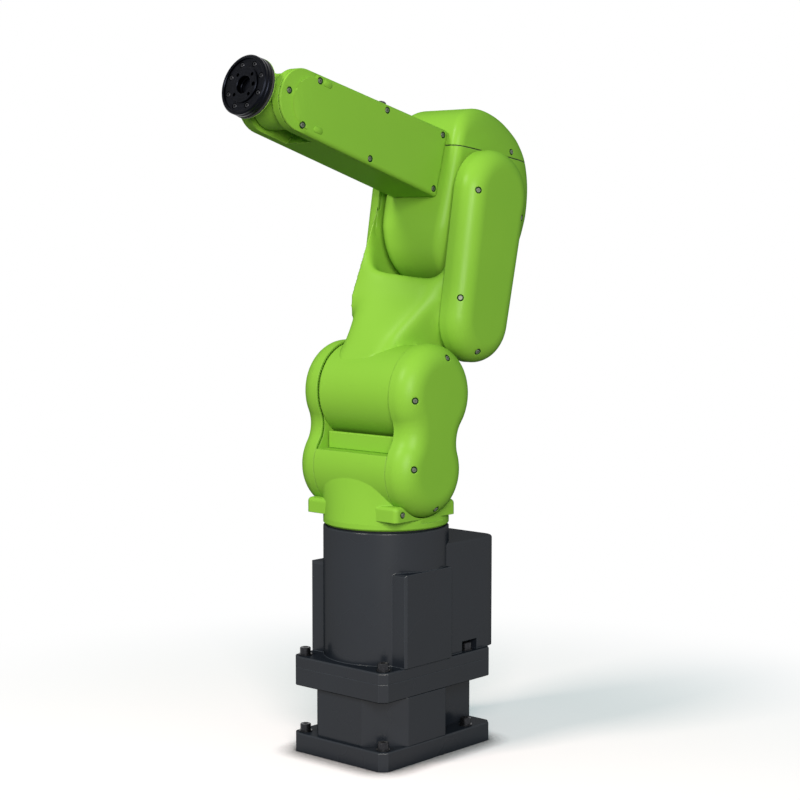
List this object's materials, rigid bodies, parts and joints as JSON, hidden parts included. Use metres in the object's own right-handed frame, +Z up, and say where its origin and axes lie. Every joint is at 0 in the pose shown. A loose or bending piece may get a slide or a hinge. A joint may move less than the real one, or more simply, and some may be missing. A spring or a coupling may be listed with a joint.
{
  "type": "six-axis robot arm",
  "caption": "Jointed collaborative robot arm with a forked lower arm, tapering forearm and round tool flange, standing on a force-sensing base block.",
  "frame": {"origin": "where the vertical turning axis meets the underside of the base plate", "axes": "+X to the arm's front, +Y to its left, +Z up"},
  "size_m": [0.4619, 0.183, 0.8149],
  "materials": {
    "bearing_steel": "turned steel",
    "black_anodised": "black oxide finish on machined metal",
    "black_plastic": "matt moulded plastic",
    "dark_paint": "satin dark grey paint on cast metal",
    "green_paint": "satin two-coat paint on cast aluminium",
    "nickel": "nickel plated brass fitting",
    "panel_metal": "satin dark grey sheet metal",
    "seal_rubber": "matt nitrile rubber"
  },
  "bodies": {
    "base": {"sensor_bottom_plate": "dark_paint", "sensor_body": "dark_paint", "sensor_top_plate": "dark_paint", "base_casting": "dark_paint", "terminal_panel": "panel_metal", "power_socket": "black_plastic", "air_port_supply": "nickel", "air_port_exhaust": "nickel", "signal_socket_cap": "black_plastic", "turret_seal": "seal_rubber"},
    "turret": {"turret_casting": "green_paint", "shoulder_guard_strip": "green_paint", "left_shoulder_cover": "green_paint", "right_shoulder_cover": "green_paint"},
    "lower_arm": {"lower_arm_casting": "green_paint", "left_arm_cover": "green_paint", "right_arm_cover": "green_paint"},
    "elbow": {"elbow_casting": "green_paint", "elbow_rear_cover": "green_paint", "left_elbow_bearing": "bearing_steel", "right_elbow_bearing": "bearing_steel"},
    "forearm": {"forearm_shell": "green_paint", "forearm_port_plug": "black_plastic", "left_forearm_cover": "green_paint", "right_forearm_cover": "green_paint"},
    "wrist": {"wrist_housing": "green_paint"},
    "tool_flange": {"tool_flange": "black_anodised"}
  },
  "joints": [
    {"name": "base_turn", "type": "hinge", "parent": "base", "child": "turret", "pos_m": [0, 0, 0.275], "axis": [0, 0, 1], "range_deg": [-170, 170]},
    {"name": "shoulder", "type": "hinge", "parent": "turret", "child": "lower_arm", "pos_m": [0, 0, 0.433], "axis": [0, 1, 0], "range_deg": [-52, 98]},
    {"name": "elbow", "type": "hinge", "parent": "lower_arm", "child": "elbow", "pos_m": [-0.10159, 0, 0.67233], "axis": [0, -1, 0], "range_deg": [-44, 160]},
    {"name": "forearm_roll", "type": "hinge", "parent": "elbow", "child": "forearm", "pos_m": [-0.10677, 0, 0.69165], "axis": [0.9659, 0, 0.2588], "range_deg": [-190, 190]},
    {"name": "wrist_bend", "type": "hinge", "parent": "forearm", "child": "wrist", "pos_m": [0.17335, 0, 0.76671], "axis": [0, -1, 0], "range_deg": [-100, 100]},
    {"name": "flange_turn", "type": "hinge", "parent": "wrist", "child": "tool_flange", "pos_m": [0.17335, 0, 0.76671], "axis": [0.9659, 0, 0.2588], "range_deg": [-360, 360]}
  ]
}
